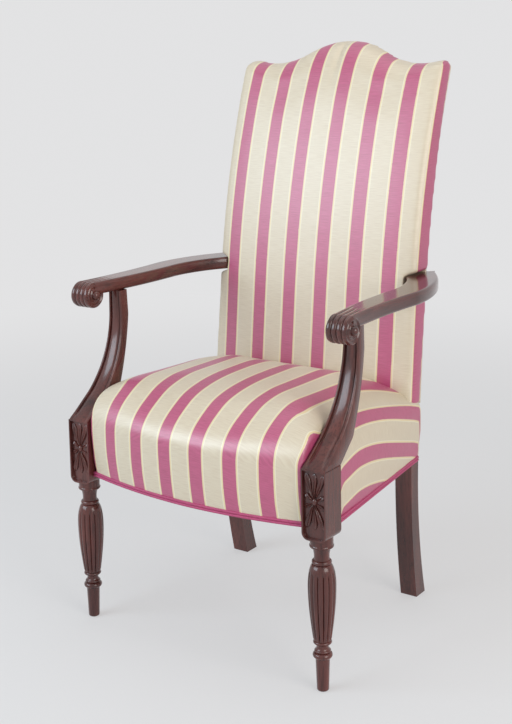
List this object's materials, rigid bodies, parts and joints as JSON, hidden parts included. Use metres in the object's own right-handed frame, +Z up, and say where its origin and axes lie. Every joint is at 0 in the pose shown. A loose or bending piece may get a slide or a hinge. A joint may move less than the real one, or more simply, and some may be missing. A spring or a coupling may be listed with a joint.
{
  "type": "lolling chair",
  "caption": "Upholstered open armchair with a high camel back, scrolled ribbed arms, swept moulded arm supports, turned reeded front legs and a striped cover.",
  "frame": {"origin": "on the floor, midway between the sides and midway between the seat's nose and the top of the back", "axes": "+X towards the side that is on the right when the chair is seen from the front, -Y towards the front, +Z up"},
  "size_m": [0.654, 0.6407, 1.14],
  "materials": {
    "mahogany": "dark reddish polish, glossy",
    "frame_wood": "plain, unpolished",
    "screw_steel": "plain",
    "striped_cover": "striped satin weave, pink and cream with gold lines",
    "welt_cloth": "satin weave over cord",
    "jute": "coarse plain weave",
    "stuffing": "matted fibre under wadding",
    "lining_cloth": "thin plain weave"
  },
  "bodies": {
    "root": {"front_leg_left": "mahogany", "front_leg_right": "mahogany", "arm_support_left": "mahogany", "arm_support_right": "mahogany", "arm_left": "mahogany", "arm_right": "mahogany", "rear_leg_left": "mahogany", "rear_leg_right": "mahogany", "front_seat_rail": "frame_wood", "side_seat_rail_left": "frame_wood", "side_seat_rail_right": "frame_wood", "rear_seat_rail": "frame_wood", "crest_rail": "frame_wood", "lower_back_rail": "frame_wood", "corner_block_front_left": "frame_wood", "corner_block_front_right": "frame_wood", "corner_block_rear_left": "frame_wood", "corner_block_rear_right": "frame_wood", "arm_dowels": "frame_wood", "corner_block_screws": "screw_steel", "arm_screws": "screw_steel", "seat_cover": "striped_cover", "back_cover": "striped_cover", "outside_back_cover": "striped_cover", "seat_welt_front": "welt_cloth", "seat_welt_left": "welt_cloth", "seat_welt_right": "welt_cloth", "seat_webbing": "jute", "back_webbing": "jute", "seat_hessian": "jute", "back_hessian": "jute", "seat_stuffing": "stuffing", "back_stuffing": "stuffing", "dust_cover": "lining_cloth"}
  },
  "joints": []
}
